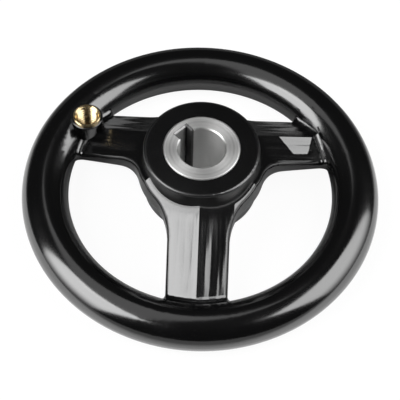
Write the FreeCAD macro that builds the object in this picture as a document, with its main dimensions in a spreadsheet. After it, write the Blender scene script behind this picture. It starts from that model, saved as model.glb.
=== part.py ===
import FreeCAD, Part
import Sketcher
import math
import os

# Machine handwheel: a one-piece moulded wheel with an oval rim, three sloping spokes and a
# raised hub, moulded round a keyed steel bush and round a brass insert for the crank handle.
# +Z runs along the bore axis to the operator's side. The wheel lies on the rear of its rim,
# at Z = 0, and one spoke points along -Y.

SIZES = [
    ("rim_diameter", 125.0, "outside of the rim"),
    ("rim_height", 14.6, "rim section, measured along the axis"),
    ("rim_widening", 1.7, "how much wider than high the oval rim section is"),
    ("hub_diameter", 39.6, "outside of the hub"),
    ("hub_length", 23.0, "rear face to front face of the moulded hub"),
    ("bush_stand", 3.0, "how far the bush stands out behind the hub"),
    ("hub_rear_rise", 3.2, "hub rear face above the middle plane of the rim"),
    ("hub_edge_radius", 0.8, "rounding of the hub's front edge"),
    ("hub_rear_radius", 1.5, "rounding of the hub's rear edge"),
    ("hub_ring_width", 2.0, "ring left round the hub between the spokes"),
    ("collar_height", 5.4, "hub face above the spoke ridges, at the hub wall"),
    ("spoke_depth", 9.0, "ridge to underside of a spoke, at the hub wall"),
    ("spoke_end_rise", 0.3, "ridge above the middle plane of the rim, at the spoke's end"),
    ("spoke_end_depth", 6.1, "ridge to underside of a spoke, at its end"),
    ("spoke_width", 21.0, "spoke width between its straight sides"),
    ("roof_slope", 15.0, "fall of a spoke's top from its ridge to each side, in degrees"),
    ("upper_edge_radius", 1.8, "rounding along the upper spoke edges"),
    ("lower_edge_radius", 1.2, "rounding along the lower spoke edges"),
    ("window_root_radius", 17.0, "window corners at the hub"),
    ("window_corner_radius", 8.0, "window corners at the rim"),
    ("rim_bite", 4.0, "how far the spokes run into the rim section"),
    ("junction_radius", 2.0, "fillet where a spoke meets the rim"),
    ("bush_diameter", 26.5, "outside of the steel bush and its seat"),
    ("bush_groove_width", 5.0, "retaining groove round the bush"),
    ("bush_groove_depth", 1.2, "depth of the retaining groove"),
    ("bore_diameter", 16.0, "bore for the shaft"),
    ("bore_chamfer", 0.5, "chamfer at both mouths of the bore and keyway"),
    ("bush_chamfer", 0.4, "chamfer on the outer edges of the bush"),
    ("key_width", 5.0, "width of the keyway"),
    ("key_depth", 2.3, "keyway depth beyond the bore wall"),
    ("key_angle", 135.0, "direction of the keyway, from +X"),
    ("handle_circle_radius", 47.5, "wheel axis to the axis of the handle insert"),
    ("handle_angle", 150.0, "direction of the spoke that carries the insert, from +X"),
    ("boss_diameter", 11.2, "round boss that holds the insert"),
    ("boss_rise", 9.2, "boss top above the middle plane of the rim"),
    ("boss_floor", 1.6, "moulded floor under the insert"),
    ("boss_edge_radius", 0.4, "rounding of the boss's top edge"),
    ("insert_diameter", 9.7, "outside of the brass insert and its seat"),
    ("insert_length", 12.0, "length of the brass insert"),
    ("insert_stand", 1.0, "how far the insert stands above the boss"),
    ("insert_groove_width", 2.6, "retaining groove round the insert"),
    ("insert_groove_depth", 0.6, "depth of the insert's groove"),
    ("insert_chamfer", 0.3, "chamfer on the outer edges of the insert"),
    ("tap_diameter", 6.8, "tapping bore of the M8 thread"),
    ("sink_diameter", 8.5, "countersink at the mouth of the thread"),
]

os.makedirs("parts", exist_ok=True)
doc = FreeCAD.newDocument("machine_handwheel")
sheet = doc.addObject("Spreadsheet::Sheet", "sizes")
size = {}
for row, (name, value, meaning) in enumerate(SIZES, start=1):
    sheet.set(f"A{row}", meaning)
    sheet.set(f"B{row}", str(value))
    sheet.setAlias(f"B{row}", name)
    size[name] = value
doc.recompute()


def new_body(name):
    """Start a sub-part; its label names the node."""
    body = doc.addObject("PartDesign::Body", name)
    body.Label = name
    return body


def origin_feature(body, role):
    """Find one of the body's own origin planes or axes."""
    return next(feature for feature in body.Origin.OriginFeatures if feature.Role == role)


def new_sketch(body, name, plane):
    """Start a sketch on one of the body's origin planes."""
    sketch = body.newObject("Sketcher::SketchObject", name)
    sketch.AttachmentSupport = (origin_feature(body, plane), [""])
    sketch.MapMode = "FlatFace"
    return sketch


def upright_sketch(body, name, direction):
    """Start a sketch on an upright plane through the axis, turned to a direction from +X.
    Its first coordinate is the distance from the axis and its second one is the height."""
    sketch = new_sketch(body, name, "XZ_Plane")
    upwards = FreeCAD.Vector(0, 1, 0)
    sketch.AttachmentOffset = FreeCAD.Placement(FreeCAD.Vector(), FreeCAD.Rotation(upwards, 0))
    sketch.setExpression("AttachmentOffset.Rotation.Angle", direction)
    return sketch


def constrain(sketch, label, formula, *reference):
    """Add one dimension and bind it to the sheet."""
    index = sketch.addConstraint(Sketcher.Constraint(*reference))
    sketch.renameConstraint(index, label)
    sketch.setExpression(f"Constraints.{label}", formula)


def turned_outline(sketch, corners):
    """Draw a closed line loop whose corners are (distance formula, height formula) pairs.
    The corners start spread round a circle, and their dimensions pull them into place."""
    count = len(corners)
    spread = [FreeCAD.Vector(20 + 10 * math.cos(2 * math.pi * n / count),
                             20 + 10 * math.sin(2 * math.pi * n / count), 0) for n in range(count)]
    for n in range(count):
        sketch.addGeometry(Part.LineSegment(spread[n], spread[(n + 1) % count]), False)
    for n in range(count):
        sketch.addConstraint(Sketcher.Constraint("Coincident", n, 2, (n + 1) % count, 1))
    for n, (distance, height) in enumerate(corners):
        constrain(sketch, f"distance{n}", distance, "DistanceX", -1, 1, n, 1, spread[n].x)
        constrain(sketch, f"height{n}", height, "DistanceY", -1, 1, n, 1, spread[n].y)


def turn_profile(body, kind, name, sketch, axis):
    """Turn a sketch a full turn about an axis, to add (Revolution) or to cut (Groove)."""
    feature = body.newObject(f"PartDesign::{kind}", name)
    feature.Profile = sketch
    feature.ReferenceAxis = axis
    feature.Angle = 360
    doc.recompute()
    return feature


def dress_edges(body, kind, name, base, amount, wanted):
    """Fillet or chamfer the edges of the base feature that pass a test."""
    edges = [f"Edge{n}" for n, edge in enumerate(base.Shape.Edges, start=1) if wanted(edge)]
    feature = body.newObject(f"PartDesign::{kind}", name)
    feature.Base = (base, edges)
    feature.setExpression("Radius" if kind == "Fillet" else "Size", f"sizes.{amount}")
    doc.recompute()
    return feature


def ring_test(distance, height, x=0.0, y=0.0):
    """Make a test for edges that run round an upright axis at a distance and height."""
    return lambda edge: all(abs(math.hypot(p.x - x, p.y - y) - distance) < 1e-3
                            and abs(p.z - height) < 1e-3 for p in edge.discretize(5))


# Formulas that several sketches share, and the same places as numbers for the edge tests.
RIM_MIDDLE = "sizes.rim_height / 2"
RIM_CIRCLE = "(sizes.rim_diameter - sizes.rim_height - sizes.rim_widening) / 2"
HUB_REAR = f"{RIM_MIDDLE} + sizes.hub_rear_rise"
HUB_FRONT = f"{HUB_REAR} + sizes.hub_length"
SPOKE_TOP = f"{HUB_FRONT} - sizes.collar_height"
SPOKE_END = "(sizes.rim_diameter / 2 - sizes.rim_height - sizes.rim_widening + sizes.rim_bite)"
SPOKE_RUN = f"({SPOKE_END} - sizes.hub_diameter / 2)"
SPOKE_FALL = f"({SPOKE_TOP} - ({RIM_MIDDLE} + sizes.spoke_end_rise)) / {SPOKE_RUN}"
UNDERSIDE_FALL = f"({SPOKE_FALL} + (sizes.spoke_end_depth - sizes.spoke_depth) / {SPOKE_RUN})"

rim_half_width = (size["rim_height"] + size["rim_widening"]) / 2
rim_half_height = size["rim_height"] / 2
rim_circle = size["rim_diameter"] / 2 - rim_half_width
hub_radius = size["hub_diameter"] / 2
hub_rear = rim_half_height + size["hub_rear_rise"]
hub_front = hub_rear + size["hub_length"]
spoke_top = hub_front - size["collar_height"]
spoke_end = rim_circle - rim_half_width + size["rim_bite"]
window_inner = hub_radius + size["hub_ring_width"]
spoke_run = spoke_end - hub_radius
spoke_fall = (spoke_top - rim_half_height - size["spoke_end_rise"]) / spoke_run
underside_fall = spoke_fall + (size["spoke_end_depth"] - size["spoke_depth"]) / spoke_run
roof_slant = math.tan(math.radians(size["roof_slope"])) * math.hypot(1, spoke_fall)


def turn_spoke_blank(body):
    """Turn the blank that the spokes are left from, with their coned underside and a flat top. It
    runs from the bush's seat, inside the hub, to a circle inside the rim section."""
    seat = "sizes.bush_diameter / 2"
    underside = f"{SPOKE_TOP} - sizes.spoke_depth"
    inward = "(sizes.hub_diameter - sizes.bush_diameter) / 2"
    sketch = upright_sketch(body, "spoke_blank_outline", "-90")
    turned_outline(sketch, [
        (seat, f"{underside} + {inward} * {UNDERSIDE_FALL}"),
        (SPOKE_END, f"{underside} - {SPOKE_RUN} * {UNDERSIDE_FALL}"),
        (SPOKE_END, HUB_FRONT),
        (seat, HUB_FRONT)])
    return turn_profile(body, "Revolution", "spoke_blank", sketch,
                        (origin_feature(body, "Z_Axis"), [""]))


def turn_hub(body):
    """Turn the hub with its seat for the bush; a ring in the seat fills the bush's groove."""
    seat = "sizes.bush_diameter / 2"
    ring = "sizes.bush_diameter / 2 - sizes.bush_groove_depth"
    wall = "sizes.hub_diameter / 2"
    ring_low = f"{HUB_REAR} + (sizes.hub_length - sizes.bush_groove_width) / 2"
    ring_high = f"{HUB_REAR} + (sizes.hub_length + sizes.bush_groove_width) / 2"
    sketch = upright_sketch(body, "hub_outline", "-90")
    turned_outline(sketch, [
        (seat, HUB_REAR),
        (wall, HUB_REAR),
        (wall, HUB_FRONT),
        (seat, HUB_FRONT),
        (seat, ring_high),
        (ring, ring_high),
        (ring, ring_low),
        (seat, ring_low)])
    return turn_profile(body, "Revolution", "hub", sketch, (origin_feature(body, "Z_Axis"), [""]))


def draw_window(sketch):
    """Draw the window between the spokes at -90 and 30 degrees: two arcs round the wheel axis,
    the two spoke sides, and corner arcs tangent to both."""
    outer = rim_circle
    inner = window_inner
    half = size["spoke_width"] / 2
    corner = size["window_corner_radius"]
    root = size["window_root_radius"]
    centre = FreeCAD.Vector(0, 0, 0)
    upright = FreeCAD.Vector(0, 0, 1)
    reach = math.sqrt((outer - corner) ** 2 - (half + corner) ** 2)
    start = math.sqrt((inner + root) ** 2 - (half + root) ** 2)

    def side(angle, turn):
        """Place the points along one spoke side, from hub to rim."""
        along = FreeCAD.Vector(math.cos(math.radians(angle)), math.sin(math.radians(angle)), 0)
        across = FreeCAD.Vector(-along.y, along.x, 0) * turn
        root_centre = along * start + across * (half + root)
        corner_centre = along * reach + across * (half + corner)
        inner_end = root_centre * (inner / (inner + root))
        outer_end = corner_centre * (outer / (outer - corner))
        line = Part.LineSegment(along * start + across * half, along * reach + across * half)
        return root_centre, corner_centre, inner_end, outer_end, line

    def arc(middle, radius, first, last):
        """Arc round a middle from one point to another, anticlockwise."""
        turn = lambda v: math.atan2(v.y - middle.y, v.x - middle.x)
        return Part.ArcOfCircle(Part.Circle(middle, upright, radius), turn(first), turn(last))

    root_low, corner_low, inner_low, outer_low, line_low = side(-90, 1)
    root_high, corner_high, inner_high, outer_high, line_high = side(30, -1)
    sketch.addGeometry([
        arc(centre, outer, outer_low, outer_high),
        arc(corner_high, corner, outer_high, line_high.EndPoint),
        line_high,
        arc(root_high, root, line_high.StartPoint, inner_high),
        arc(centre, inner, inner_low, inner_high),
        arc(root_low, root, inner_low, line_low.StartPoint),
        line_low,
        arc(corner_low, corner, line_low.EndPoint, outer_low)], False)
    joints = [(0, 2, 1, 1), (1, 2, 2, 2), (2, 1, 3, 1), (3, 2, 4, 2),
              (4, 1, 5, 1), (5, 2, 6, 1), (6, 2, 7, 1), (7, 2, 0, 1)]
    for joint in joints:
        sketch.addConstraint(Sketcher.Constraint("Tangent", *joint))
    for round_axis in (0, 4):
        sketch.addConstraint(Sketcher.Constraint("Coincident", round_axis, 3, -1, 1))
    sketch.addConstraint(Sketcher.Constraint("Equal", 1, 7))
    sketch.addConstraint(Sketcher.Constraint("Equal", 3, 5))
    constrain(sketch, "outer_radius", RIM_CIRCLE, "Radius", 0, outer)
    constrain(sketch, "inner_radius", "sizes.hub_diameter / 2 + sizes.hub_ring_width", "Radius", 4,
              inner)
    constrain(sketch, "corner_radius", "sizes.window_corner_radius", "Radius", 7, corner)
    constrain(sketch, "root_radius", "sizes.window_root_radius", "Radius", 5, root)
    constrain(sketch, "upper_offset", "sizes.spoke_width / 2", "Distance", -1, 1, 2, half)
    constrain(sketch, "lower_offset", "sizes.spoke_width / 2", "Distance", -1, 1, 6, half)
    sketch.addConstraint(Sketcher.Constraint("Angle", 2, math.radians(30)))
    sketch.addConstraint(Sketcher.Constraint("Angle", 6, math.radians(-90)))


def repeat_thrice(body, feature, name):
    """Repeat a cut for each of the three spokes."""
    pattern = body.newObject("PartDesign::PolarPattern", name)
    pattern.Originals = [feature]
    pattern.Axis = (origin_feature(body, "Z_Axis"), [""])
    pattern.Angle = 360
    pattern.Occurrences = 3
    body.Tip = pattern
    doc.recompute()
    return pattern


def cut_windows(body):
    """Cut one window through the blank and repeat it."""
    sketch = new_sketch(body, "window_outline", "XY_Plane")
    draw_window(sketch)
    window = body.newObject("PartDesign::Pocket", "window")
    window.Profile = sketch
    window.Type = "ThroughAll"
    window.Reversed = True
    doc.recompute()
    return repeat_thrice(body, window, "windows")


def cut_roofs(body):
    """Cut the blank's top down to a roof along each spoke, with its ridge in the middle. The
    sketch stands square to the ridge, at the hub wall, and the cut runs both ways from it."""
    half = "sizes.rim_diameter / 4"
    eave = f"-{half} * tan(sizes.roof_slope)"
    sketch = new_sketch(body, "roof_outline", "XZ_Plane")
    sideways = FreeCAD.Vector(1, 0, 0)
    sketch.AttachmentOffset = FreeCAD.Placement(FreeCAD.Vector(), FreeCAD.Rotation(sideways, 0))
    sketch.setExpression("AttachmentOffset.Rotation.Angle", f"atan({SPOKE_FALL})")
    sketch.setExpression("AttachmentOffset.Base.y", SPOKE_TOP)
    sketch.setExpression("AttachmentOffset.Base.z", "sizes.hub_diameter / 2")
    turned_outline(sketch, [
        ("0", "0"),
        (half, eave),
        (half, "2 * sizes.hub_length"),
        (f"-{half}", "2 * sizes.hub_length"),
        (f"-{half}", eave)])
    roof = body.newObject("PartDesign::Pocket", "roof")
    roof.Profile = sketch
    roof.Type = "Length"
    roof.Midplane = True
    roof.setExpression("Length", "2 * sizes.rim_diameter")
    doc.recompute()
    return repeat_thrice(body, roof, "roofs")


def off_ridge(point, spoke):
    """Measure how far out along a spoke a point lies, and how far to the side of its ridge."""
    turn = math.radians(120 * spoke)
    along = -point.y * math.cos(turn) + point.x * math.sin(turn)
    aside = point.x * math.cos(turn) + point.y * math.sin(turn)
    return along, aside


def on_roof(point):
    """Tell whether a point lies on the roofs, whose lowest one holds at each place."""
    heights = []
    for spoke in range(3):
        along, aside = off_ridge(point, spoke)
        ridge = spoke_top - (along - hub_radius) * spoke_fall
        heights.append(ridge - abs(aside) * roof_slant)
    return abs(point.z - min(heights)) < 5e-3


def on_underside(point):
    """Tell whether a point lies on the coned underside of the spokes."""
    fall = (math.hypot(point.x, point.y) - hub_radius) * underside_fall
    return abs(point.z - (spoke_top - size["spoke_depth"] - fall)) < 5e-3


def round_windows(on_side):
    """Make a test for the edges round the windows on one side of the spokes."""
    def wanted(edge):
        points = edge.discretize(5)
        distances = [math.hypot(p.x, p.y) for p in points]
        at_window = min(distances) > window_inner - 1e-3 and min(distances) < spoke_end - 1e-3
        return at_window and all(on_side(p) for p in points)

    return wanted


def turn_rim(body):
    """Turn the oval rim section about the wheel axis."""
    sketch = upright_sketch(body, "rim_outline", "90")
    middle = FreeCAD.Vector(rim_circle, rim_half_height, 0)
    side = FreeCAD.Vector(rim_circle + rim_half_width, rim_half_height, 0)
    top = FreeCAD.Vector(rim_circle, 2 * rim_half_height, 0)
    oval = sketch.addGeometry(Part.Ellipse(side, top, middle), False)
    sketch.exposeInternalGeometry(oval)
    long_axis = 1
    short_axis = 2
    sketch.addConstraint(Sketcher.Constraint("Horizontal", long_axis))
    constrain(sketch, "centre_distance", RIM_CIRCLE, "DistanceX", -1, 1, oval, 3, middle.x)
    constrain(sketch, "centre_height", RIM_MIDDLE, "DistanceY", -1, 1, oval, 3, middle.y)
    constrain(sketch, "width", "sizes.rim_height + sizes.rim_widening", "Distance", long_axis,
              2 * rim_half_width)
    constrain(sketch, "depth", "sizes.rim_height", "Distance", short_axis, 2 * rim_half_height)
    return turn_profile(body, "Revolution", "rim", sketch, (origin_feature(body, "Z_Axis"), [""]))


def at_junction(edge):
    """Tell whether an edge is where a spoke meets the rim's oval surface."""
    points = edge.discretize(7)
    across = [(math.hypot(p.x, p.y) - rim_circle) / rim_half_width for p in points]
    rise = [(p.z - rim_half_height) / rim_half_height for p in points]
    on_oval = all(abs(a * a + r * r - 1) < 5e-3 for a, r in zip(across, rise))
    seam = max(abs(p.x) for p in points) < 1e-3 or edge.isClosed()
    return on_oval and not seam


def add_boss(body):
    """Turn the round boss for the handle insert, and cut the insert's seat into it."""
    axis = "sizes.handle_circle_radius"
    boss_top = f"{RIM_MIDDLE} + sizes.boss_rise"
    insert_top = f"{boss_top} + sizes.insert_stand"
    insert_foot = f"{insert_top} - sizes.insert_length"
    boss_foot = f"{insert_foot} - sizes.boss_floor"
    boss_side = f"{axis} + sizes.boss_diameter / 2"
    seat_side = f"{axis} + sizes.insert_diameter / 2"
    ring_side = f"{seat_side} - sizes.insert_groove_depth"
    ring_low = f"{insert_foot} + (sizes.insert_length - sizes.insert_groove_width) / 2"
    ring_high = f"{insert_foot} + (sizes.insert_length + sizes.insert_groove_width) / 2"
    boss_sketch = upright_sketch(body, "boss_outline", "sizes.handle_angle")
    turned_outline(boss_sketch, [
        (axis, boss_foot),
        (boss_side, boss_foot),
        (boss_side, boss_top),
        (axis, boss_top)])
    boss = turn_profile(body, "Revolution", "handle_boss", boss_sketch, (boss_sketch, ["Edge4"]))
    reach = size["handle_circle_radius"]
    angle = math.radians(size["handle_angle"])
    x = reach * math.cos(angle)
    y = reach * math.sin(angle)
    boss_height = rim_half_height + size["boss_rise"]
    rounded = dress_edges(body, "Fillet", "boss_top_edge", boss, "boss_edge_radius",
                          ring_test(size["boss_diameter"] / 2, boss_height, x, y))
    seat_sketch = upright_sketch(body, "insert_seat_outline", "sizes.handle_angle")
    turned_outline(seat_sketch, [
        (axis, insert_foot),
        (seat_side, insert_foot),
        (seat_side, ring_low),
        (ring_side, ring_low),
        (ring_side, ring_high),
        (seat_side, ring_high),
        (seat_side, insert_top),
        (axis, insert_top)])
    return turn_profile(body, "Groove", "insert_seat", seat_sketch, (seat_sketch, ["Edge8"]))


def build_wheel_body():
    """Model the moulded wheel: the spokes first, then the rim, the hub, the roundings and the boss."""
    body = new_body("wheel_body")
    turn_spoke_blank(body)
    cut_windows(body)
    roofs = cut_roofs(body)
    upper = dress_edges(body, "Fillet", "upper_edges", roofs, "upper_edge_radius",
                        round_windows(on_roof))
    dress_edges(body, "Fillet", "lower_edges", upper, "lower_edge_radius",
                round_windows(on_underside))
    rim = turn_rim(body)
    dress_edges(body, "Fillet", "rim_junctions", rim, "junction_radius", at_junction)
    hub = turn_hub(body)
    front = dress_edges(body, "Fillet", "hub_front_edge", hub, "hub_edge_radius",
                        ring_test(hub_radius, hub_front))
    dress_edges(body, "Fillet", "hub_rear_edge", front, "hub_rear_radius",
                ring_test(hub_radius, hub_rear))
    add_boss(body)
    return body


def build_hub_bush():
    """Turn the steel bush from its rear face up, cut the keyway and break the sharp edges."""
    body = new_body("hub_bush")
    bore = "sizes.bore_diameter / 2"
    side = "sizes.bush_diameter / 2"
    groove = "sizes.bush_diameter / 2 - sizes.bush_groove_depth"
    front = "sizes.bush_stand + sizes.hub_length"
    groove_low = "sizes.bush_stand + (sizes.hub_length - sizes.bush_groove_width) / 2"
    groove_high = "sizes.bush_stand + (sizes.hub_length + sizes.bush_groove_width) / 2"
    sketch = upright_sketch(body, "bush_outline", "0")
    turned_outline(sketch, [
        (bore, "0"),
        (side, "0"),
        (side, groove_low),
        (groove, groove_low),
        (groove, groove_high),
        (side, groove_high),
        (side, front),
        (bore, front)])
    turn_profile(body, "Revolution", "turned_bush", sketch, (origin_feature(body, "Z_Axis"), [""]))

    key_sketch = new_sketch(body, "keyway_outline", "XY_Plane")
    key_sketch.setExpression("AttachmentOffset.Rotation.Angle", "sizes.key_angle")
    turned_outline(key_sketch, [
        ("0", "-sizes.key_width / 2"),
        (f"{bore} + sizes.key_depth", "-sizes.key_width / 2"),
        (f"{bore} + sizes.key_depth", "sizes.key_width / 2"),
        ("0", "sizes.key_width / 2")])
    keyway = body.newObject("PartDesign::Pocket", "keyway")
    keyway.Profile = key_sketch
    keyway.Type = "ThroughAll"
    keyway.Reversed = True
    doc.recompute()

    faces = (0, size["bush_stand"] + size["hub_length"])
    key_reach = math.hypot(size["bore_diameter"] / 2 + size["key_depth"], size["key_width"] / 2)
    at_mouth = lambda edge: all(min(abs(p.z - face) for face in faces) < 1e-3
                                and math.hypot(p.x, p.y) < key_reach + 1e-3
                                for p in edge.discretize(3))
    mouths = dress_edges(body, "Chamfer", "mouth_chamfers", keyway, "bore_chamfer", at_mouth)
    rims = [ring_test(size["bush_diameter"] / 2, face) for face in faces]
    dress_edges(body, "Chamfer", "outer_chamfers", mouths, "bush_chamfer",
                lambda edge: any(test(edge) for test in rims))
    body.setExpression("Placement.Base.z", f"{HUB_REAR} - sizes.bush_stand")
    return body


def build_handle_insert():
    """Turn the brass insert from its foot up: tapping bore, countersink and retaining groove."""
    body = new_body("handle_insert")
    tap = "sizes.tap_diameter / 2"
    sink = "sizes.sink_diameter / 2"
    side = "sizes.insert_diameter / 2"
    groove = "sizes.insert_diameter / 2 - sizes.insert_groove_depth"
    groove_low = "(sizes.insert_length - sizes.insert_groove_width) / 2"
    groove_high = "(sizes.insert_length + sizes.insert_groove_width) / 2"
    sketch = upright_sketch(body, "insert_outline", "0")
    turned_outline(sketch, [
        (tap, "0"),
        (side, "0"),
        (side, groove_low),
        (groove, groove_low),
        (groove, groove_high),
        (side, groove_high),
        (side, "sizes.insert_length"),
        (sink, "sizes.insert_length"),
        (tap, f"sizes.insert_length - ({sink} - {tap})")])
    turned = turn_profile(body, "Revolution", "turned_insert", sketch,
                          (origin_feature(body, "Z_Axis"), [""]))
    ends = [ring_test(size["insert_diameter"] / 2, face) for face in (0, size["insert_length"])]
    dress_edges(body, "Chamfer", "insert_chamfers", turned, "insert_chamfer",
                lambda edge: any(test(edge) for test in ends))
    body.setExpression("Placement.Base.x", "sizes.handle_circle_radius * cos(sizes.handle_angle)")
    body.setExpression("Placement.Base.y", "sizes.handle_circle_radius * sin(sizes.handle_angle)")
    body.setExpression("Placement.Base.z",
                       f"{RIM_MIDDLE} + sizes.boss_rise + sizes.insert_stand - sizes.insert_length")
    return body


sub_parts = [build_wheel_body(), build_hub_bush(), build_handle_insert()]
doc.recompute()
failed = [item.Name for item in doc.Objects if {"Invalid", "Error"} & set(item.State)]
if failed:
    raise RuntimeError(f"objects failed: {failed}")
for part in sub_parts:
    if part.Shape.isNull() or not part.Shape.isValid() or len(part.Shape.Solids) != 1:
        raise RuntimeError(f"{part.Label} is not one valid solid")
for part in sub_parts:
    part.Shape.exportStep(f"parts/{part.Label}.step")
    box = part.Shape.BoundBox
    print(f"{part.Label}: {part.Shape.Volume:.0f} mm3, Z {box.ZMin:.2f} to {box.ZMax:.2f}")
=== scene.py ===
import math
from functools import reduce
import bpy
import numpy as np
from mathutils import Matrix, Vector


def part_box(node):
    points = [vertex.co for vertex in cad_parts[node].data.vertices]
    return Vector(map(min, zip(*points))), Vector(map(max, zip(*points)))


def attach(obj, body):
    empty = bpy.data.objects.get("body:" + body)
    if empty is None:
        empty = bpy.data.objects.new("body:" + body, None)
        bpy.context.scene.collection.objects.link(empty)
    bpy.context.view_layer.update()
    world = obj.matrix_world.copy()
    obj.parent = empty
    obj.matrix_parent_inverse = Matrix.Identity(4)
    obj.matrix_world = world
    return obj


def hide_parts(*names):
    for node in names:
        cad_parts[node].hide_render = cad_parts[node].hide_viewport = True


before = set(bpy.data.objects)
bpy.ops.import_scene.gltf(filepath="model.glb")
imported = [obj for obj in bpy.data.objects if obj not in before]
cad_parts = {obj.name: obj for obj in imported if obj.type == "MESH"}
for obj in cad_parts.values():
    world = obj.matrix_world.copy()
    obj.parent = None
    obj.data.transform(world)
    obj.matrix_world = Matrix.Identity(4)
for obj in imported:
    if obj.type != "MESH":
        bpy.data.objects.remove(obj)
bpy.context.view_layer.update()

# The moulded wheel: one piece of black thermoset, moulded round the bush and the insert and
# polished after. The polishing ran along the spokes. It left soft streaks, which show where a
# light is mirrored in them, and it turned a few places on the spokes slightly towards a light.
sixth_turn = math.pi / 3
spoke_start = (0.0215, 0.025)
spoke_end = (0.044, 0.049)
rim_fillet = (0.0415, 0.044)
hub_wall_inside = (0.0184, 0.0192)
hub_wall_outside = (0.02, 0.0206)
streaks_a_metre = 300
streak_stretch = 0.07
streak_depth = 0.00055
ripples_a_metre = 240
ripple_depth = 0.000006
ridge_strip = 0.0003
patch_edge = (-0.0078, -0.0066)
patch_inner_line = (0.0303, 0.0309)
patch_inner_slope = 0.35
patch_outer_line = (0.0448, 0.0456)
patch_outer_slope = 0.87
patch_lean = (-0.15, -0.26, 0.09)
stripes_level = (0.45, 0.6)
stripes_edge = (0.0018, 0.0028)
stripes_growth = (0.024, 0.038)
stripes_at_hub = 0.4
stripes_lean = (0.23, 0.1, 0.1)
flare_edge = (0.0115, 0.012)
flare_start = (0.0206, 0.0212)
flare_end = (0.034, 0.038)
left_edge = (-0.0002, 0)
left_lean = (-0.075, 0.065, 0.02)
polish_range = (0.11, 0.19)
streaks_dullness = 0.12
hub_wall_dullness = 0.14


def compute(operation, *values):
    """Add a math node beside the nodes that its values come from. A value may be a number."""
    tree = next(value.id_data for value in values if isinstance(value, bpy.types.NodeSocket))
    node = tree.nodes.new("ShaderNodeMath")
    node.operation = operation
    for socket, value in zip(node.inputs, values):
        if isinstance(value, bpy.types.NodeSocket):
            tree.links.new(value, socket)
        else:
            socket.default_value = value
    return node.outputs["Value"]


def times(*values):
    """Multiply two or more values."""
    return reduce(lambda so_far, value: compute("MULTIPLY", so_far, value), values)


def fade(value, start, end, low=0.0, high=1.0):
    """Go smoothly from low to high while a value goes from start to end, and stay there."""
    tree = value.id_data
    node = tree.nodes.new("ShaderNodeMapRange")
    node.interpolation_type = "SMOOTHSTEP"
    tree.links.new(value, node.inputs["Value"])
    node.inputs["From Min"].default_value = start
    node.inputs["From Max"].default_value = end
    node.inputs["To Min"].default_value = low
    node.inputs["To Max"].default_value = high
    return node.outputs["Result"]


def mottle(place, scale, detail):
    """Make a noise from 0 to 1 over a place vector, with scale features to a metre."""
    tree = place.id_data
    noise = tree.nodes.new("ShaderNodeTexNoise")
    noise.inputs["Scale"].default_value = scale
    noise.inputs["Detail"].default_value = detail
    tree.links.new(place, noise.inputs["Vector"])
    return noise.outputs["Fac"]


def relief(height, depth, below=None):
    """Bend the normals as a relief of some depth in metres would, on top of another relief."""
    tree = height.id_data
    bump = tree.nodes.new("ShaderNodeBump")
    bump.inputs["Distance"].default_value = depth
    tree.links.new(height, bump.inputs["Height"])
    if below:
        tree.links.new(below, bump.inputs["Normal"])
    return bump.outputs["Normal"]


def join_up(tree, *values):
    """Make a vector of two or three values."""
    node = tree.nodes.new("ShaderNodeCombineXYZ")
    for socket, value in zip(node.inputs, values):
        tree.links.new(value, socket)
    return node.outputs["Vector"]


def lean(normal, direction, share):
    """Add a share of a direction to the normal, so that the surface mirrors as if turned to it."""
    tree = normal.id_data
    part = tree.nodes.new("ShaderNodeVectorMath")
    part.operation = "SCALE"
    if isinstance(direction, bpy.types.NodeSocket):
        tree.links.new(direction, part.inputs[0])
    else:
        part.inputs[0].default_value = direction
    tree.links.new(share, part.inputs["Scale"])
    leaning = tree.nodes.new("ShaderNodeVectorMath")
    leaning.operation = "ADD"
    tree.links.new(normal, leaning.inputs[0])
    tree.links.new(part.outputs["Vector"], leaning.inputs[1])
    return leaning.outputs["Vector"]


def start_finish(name):
    """Start a material. Give it, its node tree and its Principled node."""
    material = bpy.data.materials.new(name)
    material.use_nodes = True
    return material, material.node_tree, material.node_tree.nodes["Principled BSDF"]


def object_place(tree):
    """Give the place vector, its three parts and the distance from the wheel's axis, in metres."""
    place = tree.nodes.new("ShaderNodeTexCoord").outputs["Object"]
    parts = tree.nodes.new("ShaderNodeSeparateXYZ")
    tree.links.new(place, parts.inputs["Vector"])
    x, y, z = parts.outputs
    reach = compute("SQRT", compute("ADD", times(x, x), times(y, y)))
    return place, x, y, z, reach


def dress(node, material):
    """Give a node of the frame its one material."""
    mesh = bpy.data.objects[node].data
    mesh.materials.clear()
    mesh.materials.append(material)


moulding, tree, gloss = start_finish("black_moulding")
gloss.inputs["Base Color"].default_value = (0.0022, 0.0022, 0.0024, 1)
gloss.inputs["IOR"].default_value = 1.9
gloss.inputs["Specular IOR Level"].default_value = 0.68
place, x, y, z, reach = object_place(tree)

# Each point's place on its own spoke: along it, and aside of its ridge, positive to the right
# of the near spoke.
bearing = compute("ARCTAN2", x, times(y, -1))
folded = compute("WRAP", bearing, sixth_turn, -sixth_turn)
aside = times(reach, compute("SINE", folded))
along = times(reach, compute("COSINE", folded))
on_spoke = times(fade(reach, *spoke_start), fade(reach, *spoke_end, 1, 0))
near_spoke = compute("LESS_THAN", compute("ABSOLUTE", bearing), sixth_turn)
right_spoke = compute("GREATER_THAN", bearing, sixth_turn)

# The streaks, fourteen times as long as wide and different on each spoke. They stop before the
# fillet into the rim.
streak_place = join_up(tree, aside, times(along, streak_stretch),
                       compute("SUBTRACT", bearing, folded))
streaks = mottle(streak_place, streaks_a_metre, 2)
before_rim = fade(reach, *rim_fillet, 1, 0)
scratched = times(compute("SUBTRACT", streaks, 0.5), on_spoke, before_rim)
rippled = relief(mottle(place, ripples_a_metre, 2), ripple_depth, relief(scratched, streak_depth))

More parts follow.
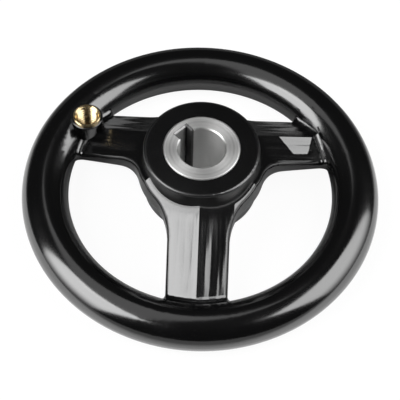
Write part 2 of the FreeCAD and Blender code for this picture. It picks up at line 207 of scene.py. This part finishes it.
# The near side of the right spoke's end, between two slanting lines.
near_side = times(compute("LESS_THAN", aside, -ridge_strip), fade(aside, *patch_edge))
past_inner = fade(compute("ADD", along, times(aside, patch_inner_slope)), *patch_inner_line)
within_outer = fade(compute("SUBTRACT", along, times(aside, patch_outer_slope)), *patch_outer_line, 1, 0)
patch = times(past_inner, within_outer, right_spoke, near_side)
normal = lean(rippled, patch_lean, patch)

# The near spoke's right half, in stripes that grow towards the rim, and the flare at its root.
stripes = times(fade(streaks, *stripes_level), fade(aside, *stripes_edge), near_spoke, on_spoke,
                fade(reach, *stripes_growth, stripes_at_hub, 1))
flare = times(fade(aside, *flare_edge), fade(reach, *flare_start), fade(reach, *flare_end, 1, 0),
              near_spoke)
normal = lean(normal, stripes_lean, compute("MAXIMUM", stripes, flare))

# The near spoke's left half.
left_half = times(near_spoke, on_spoke, fade(aside, *left_edge, 1, 0))
normal = lean(normal, left_lean, left_half)
tree.links.new(normal, gloss.inputs["Normal"])

# The gloss, duller in the streaks and round the hub's wall.
polish = fade(mottle(place, 70, 3), 0, 1, *polish_range)
in_streaks = times(fade(streaks, 0.35, 0.7, 0, streaks_dullness), on_spoke)
on_hub_wall = times(fade(reach, *hub_wall_inside, 0, hub_wall_dullness),
                    fade(reach, *hub_wall_outside, 1, 0))
tree.links.new(compute("ADD", polish, compute("ADD", in_streaks, on_hub_wall)),
               gloss.inputs["Roughness"])
dress("wheel_body", moulding)

# The hub bush: turned from steel bar, with the fine rings of the facing tool on its end and a
# broken outer edge. The keyway was broached after. Painted shade darkens the keyway's walls, and
# the bore's wall a little.
low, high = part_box("hub_bush")
bush_radius = (high[0] - low[0]) / 2
bore_radius = 0.008
keyway_half = 0.0025
keyway_floor = 0.0103
edge_from = 0.00085
edge_to = 0.00035
edge_lean = 0.75
rings_a_metre = 1500
ring_depth = 0.000014
bore_shade_share = 0.28
steel, tree, metal = start_finish("turned_steel")
metal.inputs["Metallic"].default_value = 1
metal.inputs["Anisotropic"].default_value = 0.6
metal.inputs["Anisotropic Rotation"].default_value = 0.25
round_axis = tree.nodes.new("ShaderNodeTangent")
round_axis.direction_type = "RADIAL"
round_axis.axis = "Z"
tree.links.new(round_axis.outputs["Tangent"], metal.inputs["Tangent"])
place, x, y, z, reach = object_place(tree)
rings = mottle(join_up(tree, reach, z), rings_a_metre, 3)
outwards = join_up(tree, compute("DIVIDE", x, reach), compute("DIVIDE", y, reach))
at_edge = fade(reach, bush_radius - edge_from, bush_radius - edge_to, 0, edge_lean)
tree.links.new(lean(relief(rings, ring_depth), outwards, at_edge), metal.inputs["Normal"])
tree.links.new(fade(rings, 0.3, 0.7, 0.42, 0.58), metal.inputs["Roughness"])

# The keyway lies at 135 degrees. Its walls carry painted shade, its far side the darkest.
half_root = math.sqrt(0.5)
key_out = times(compute("SUBTRACT", y, x), half_root)
key_side = times(compute("ADD", y, x), half_root)
keyway_painted_shade = times(fade(key_out, bore_radius - 0.0014, bore_radius - 0.0008),
                  fade(compute("ABSOLUTE", key_side), keyway_half + 0.0005, keyway_half + 0.0009, 1, 0),
                  fade(key_side, keyway_half - 0.0007, keyway_half - 0.0001, 0.6, 1),
                  fade(key_out, keyway_floor + 0.0005, keyway_floor + 0.0008, 1, 0))
bore_painted_shade = fade(reach, bore_radius + 0.0001, bore_radius + 0.0003, bore_shade_share, 0)
# Painted shade: the base colour goes towards dark grey in the keyway and, a little, on the bore's wall.
painted_shade_mix = tree.nodes.new("ShaderNodeMix")
painted_shade_mix.data_type = "RGBA"
painted_shade_mix.inputs["A"].default_value = (0.93, 0.93, 0.92, 1)
painted_shade_mix.inputs["B"].default_value = (0.12, 0.12, 0.12, 1)
tree.links.new(compute("MAXIMUM", keyway_painted_shade, bore_painted_shade), painted_shade_mix.inputs["Factor"])
tree.links.new(painted_shade_mix.outputs["Result"], metal.inputs["Base Color"])
dress("hub_bush", steel)

# The handle insert: a brass bush turned from bar and tapped M8, held in the moulding by the
# groove round it. The mesh has the thread's turns, which the solid leaves out.
brass, tree, metal = start_finish("bright_brass")
metal.inputs["Base Color"].default_value = (0.76, 0.6, 0.35, 1)
metal.inputs["Metallic"].default_value = 1
place, x, y, z, reach = object_place(tree)
tree.links.new(fade(mottle(place, 500, 2), 0.3, 0.7, 0.2, 0.28), metal.inputs["Roughness"])


def turned_insert():
    """Turn the insert's outline about its own axis. From the foot the outline goes up the outside
    with its groove, over the countersink and down the thread. The thread's radius is the tapping
    radius plus its depth times a wave of the height less the part of the pitch that the angle has
    climbed, and the wave is a triangle with its tips cut flat. Above, the countersink takes over."""
    low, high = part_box("handle_insert")
    middle_x = (low[0] + high[0]) / 2
    middle_y = (low[1] + high[1]) / 2
    outside = (high[0] - low[0]) / 2
    foot = low[2]
    top = high[2]
    chamfer = 0.0003
    groove_depth = 0.0006
    groove_half = 0.0013
    waist = outside - groove_depth
    waist_low = (foot + top) / 2 - groove_half
    waist_high = (foot + top) / 2 + groove_half
    tapping = 0.0034
    mouth = 0.00425
    pitch = 0.00125
    thread_depth = 0.0006
    steps_a_turn = 24
    around = 96
    turns_down = np.arange(top - 0.0001, foot, -pitch / steps_a_turn)
    radius = [tapping, outside - chamfer, outside, outside, waist, waist, outside, outside,
              outside - chamfer, mouth, *([tapping] * len(turns_down))]
    height = [foot, foot, foot + chamfer, waist_low, waist_low, waist_high, waist_high,
              top - chamfer, top, top, *turns_down]
    first_turn = len(height) - len(turns_down)
    angle = np.arange(around) * 2 * math.pi / around
    grid_radius = np.repeat(np.array(radius)[:, None], around, axis=1)
    grid_height = np.repeat(np.array(height)[:, None], around, axis=1)
    climb = grid_height[first_turn:] / pitch - angle[None, :] / (2 * math.pi)
    wave = np.clip(1.3 - 1.6 * np.abs(2 * (climb % 1) - 1), 0, 1)
    sunk = mouth - (top - grid_height[first_turn:])
    grid_radius[first_turn:] = np.maximum(tapping + thread_depth * wave, sunk)
    points = np.stack([middle_x + grid_radius * np.cos(angle), middle_y + grid_radius * np.sin(angle),
                       grid_height], axis=-1).reshape(-1, 3)
    rows = len(radius)
    row, column = np.meshgrid(np.arange(rows), np.arange(around), indexing="ij")
    ahead = (column + 1) % around
    above = (row + 1) % rows
    quads = np.stack([row * around + column, row * around + ahead, above * around + ahead,
                      above * around + column], axis=-1).reshape(-1, 4)
    mesh = bpy.data.meshes.new("threaded_insert")
    mesh.from_pydata(points.tolist(), [], quads.tolist())
    mesh.materials.append(brass)
    piece = bpy.data.objects.new("threaded_insert", mesh)
    bpy.context.scene.collection.objects.link(piece)
    return piece


insert = turned_insert()
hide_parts("handle_insert")
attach(insert, "root")

# The floor: white paper, which the camera sees evenly bright but for a faint shadow. In the
# mirror of the gloss it glows as a painted reflection, bright on the left, right and front of the
# wheel and painted dark behind it. Inside the rim it is the lit paper, as the lamps and the
# wheel's own shadow leave it.
floor_half = 8
paper_tone = 0.8
seen_glow = 1.07
seen_share = 0.88
painted_mirror_glow = 1.2
dark_behind = (0.015, 0.07)
behind_share = 0.1
dim_in_front = (0.062, 0.09)
front_share = 0.3
rim_shadow = (0.052, 0.064)
floor = bpy.data.meshes.new("floor")
floor.from_pydata([(-floor_half, -floor_half, 0), (floor_half, -floor_half, 0),
                   (floor_half, floor_half, 0), (-floor_half, floor_half, 0)], [], [(0, 1, 2, 3)])
floor_piece = bpy.data.objects.new("floor", floor)
bpy.context.scene.collection.objects.link(floor_piece)
paper, tree, matt = start_finish("white_paper")
matt.inputs["Roughness"].default_value = 0.9
matt.inputs["Specular IOR Level"].default_value = 0.1
place, x, y, z, reach = object_place(tree)
# Painted reflection: the paper's brightness in the gloss, darker behind the wheel and far in front.
bright = times(fade(y, *dark_behind, 1, behind_share),
               fade(times(y, -1), *dim_in_front, 1, front_share))
outside_rim = fade(reach, *rim_shadow)
rays = tree.nodes.new("ShaderNodeLightPath").outputs
to_camera = rays["Is Camera Ray"]
to_gloss = rays["Is Glossy Ray"]
painted_dimming = times(to_gloss, compute("SUBTRACT", 1, bright))
tone = tree.nodes.new("ShaderNodeCombineColor")
for channel in tone.inputs:
    tree.links.new(times(compute("SUBTRACT", 1, painted_dimming), paper_tone), channel)
tree.links.new(tone.outputs["Color"], matt.inputs["Base Color"])
# The glow seen in the gloss is a painted reflection, since the paper is no lamp.
glow = tree.nodes.new("ShaderNodeEmission")
tree.links.new(compute("ADD", times(to_camera, seen_glow), times(to_gloss, bright, painted_mirror_glow)),
               glow.inputs["Strength"])
both = tree.nodes.new("ShaderNodeMixShader")
tree.links.new(compute("MAXIMUM", times(to_camera, seen_share), times(to_gloss, outside_rim)),
               both.inputs["Fac"])
tree.links.new(matt.outputs["BSDF"], both.inputs[1])
tree.links.new(glow.outputs["Emission"], both.inputs[2])
tree.links.new(both.outputs["Shader"], tree.nodes["Material Output"].inputs["Surface"])
floor.materials.append(paper)

# The studio: a dim room, a large soft light on each side and a weaker one overhead. The side
# lights fade towards their lower edges.
room = bpy.data.worlds.new("dim_room")
bpy.context.scene.world = room
room.use_nodes = True
room.node_tree.nodes["Background"].inputs["Color"].default_value = (1, 1, 1, 1)
room.node_tree.nodes["Background"].inputs["Strength"].default_value = 0.02


def soft_light(name, bearing, height, width, tall, distance, power, foot):
    """Hang a rectangular lamp at a compass bearing from +Y towards +X and a height angle, both
    in degrees, facing the wheel. Its brightness grows from the share foot at the lower edge to
    the full share a little above its middle."""
    lamp = bpy.data.lights.new(name, "AREA")
    lamp.shape = "RECTANGLE"
    lamp.size = width
    lamp.size_y = tall
    lamp.energy = power
    lamp.use_nodes = True
    tree = lamp.node_tree
    across = tree.nodes.new("ShaderNodeSeparateXYZ")
    tree.links.new(tree.nodes.new("ShaderNodeNewGeometry").outputs["Parametric"],
                   across.inputs["Vector"])
    tree.links.new(fade(across.outputs["Y"], 0, 0.55, foot, 1),
                   tree.nodes["Emission"].inputs["Strength"])
    piece = bpy.data.objects.new(name, lamp)
    turn = math.radians(bearing)
    rise = math.radians(height)
    towards = Vector((math.sin(turn) * math.cos(rise), math.cos(turn) * math.cos(rise), math.sin(rise)))
    piece.rotation_mode = "QUATERNION"
    piece.rotation_quaternion = towards.to_track_quat("Z", "Y")
    piece.location = towards * distance
    bpy.context.scene.collection.objects.link(piece)


soft_light("left_light", bearing=-110, height=33, width=1.15, tall=2.0, distance=1.6, power=31,
           foot=0.1)
soft_light("right_light", bearing=89, height=33, width=1.35, tall=2.0, distance=1.6, power=26,
           foot=0.1)
soft_light("top_light", bearing=-60, height=74, width=1.6, tall=0.8, distance=1.8, power=2.1,
           foot=1)

# The camera: above the front of the wheel, looking down at 56 degrees, turned a little to the
# right and rolled by 2 degrees, as in the photograph.
down = math.radians(56.35)
turn = math.radians(0.2)
roll = math.radians(1.94)
distance = 0.5472
rim_middle = 0.0073
sight_forward = -0.0038
camera = bpy.data.cameras.new("camera")
camera.sensor_width = 36
camera.lens = 140.3
eye = bpy.data.objects.new("camera", camera)
bpy.context.scene.collection.objects.link(eye)
back = Vector((math.sin(turn) * math.cos(down), -math.cos(turn) * math.cos(down), math.sin(down)))
eye_place = back * distance + Vector((0, 0, rim_middle))
sight = Vector((0, sight_forward, rim_middle)) - eye_place
turned = sight.to_track_quat("-Z", "Y").to_matrix().to_4x4()
eye.matrix_world = Matrix.Translation(eye_place) @ turned @ Matrix.Rotation(roll, 4, "Z")
bpy.context.scene.camera = eye
bpy.context.scene.view_settings.view_transform = "Standard"
